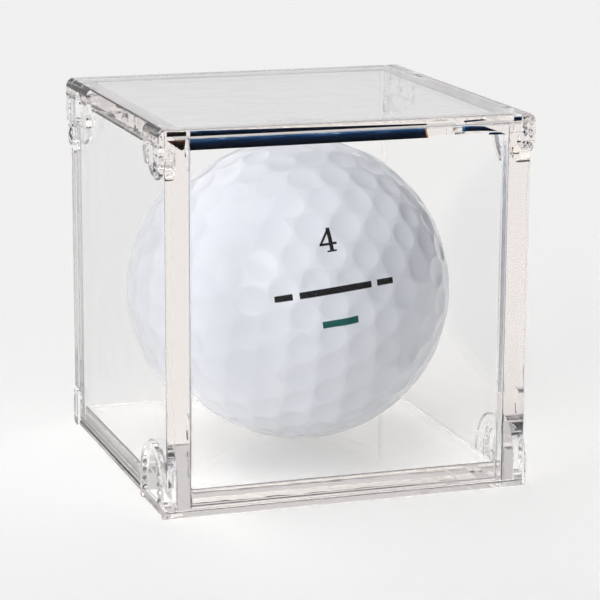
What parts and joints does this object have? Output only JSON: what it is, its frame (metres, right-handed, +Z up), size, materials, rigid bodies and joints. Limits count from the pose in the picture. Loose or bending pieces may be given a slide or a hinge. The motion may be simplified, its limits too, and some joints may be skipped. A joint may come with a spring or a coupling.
{
  "type": "golf ball display case",
  "caption": "Clear two-inch display cube for one golf ball, with clip-on ears at its corners, a hinged lid and a base that unclips.",
  "frame": {"origin": "middle of the underside of the base plate", "axes": "+Z up, -Y towards the front wall, +X to the right; the hinge line runs along X at the back"},
  "size_m": [0.0522, 0.0508, 0.0518],
  "materials": {
    "clear_polystyrene": "polished clear",
    "white_ball_cover": "gloss"
  },
  "bodies": {
    "base": {"base_plate": "clear_polystyrene"},
    "case": {"left_wall": "clear_polystyrene", "right_wall": "clear_polystyrene", "front_wall": "clear_polystyrene", "back_wall": "clear_polystyrene"},
    "lid": {"lid": "clear_polystyrene"},
    "ball": {"golf_ball": "white_ball_cover"}
  },
  "joints": [
    {"name": "case_lift", "type": "slide", "parent": "base", "child": "case", "axis": [0, 0, 1], "range_m": [0, 0.055]},
    {"name": "lid_hinge", "type": "hinge", "parent": "case", "child": "lid", "pos_m": [0, 0.0237, 0.0439], "axis": [-1, 0, 0], "range_deg": [0, 110]},
    {"name": "ball_turn", "type": "hinge", "parent": "base", "child": "ball", "pos_m": [0.0006, -0.0004, 0.02458], "axis": [0, 0, 1], "continuous": true}
  ]
}
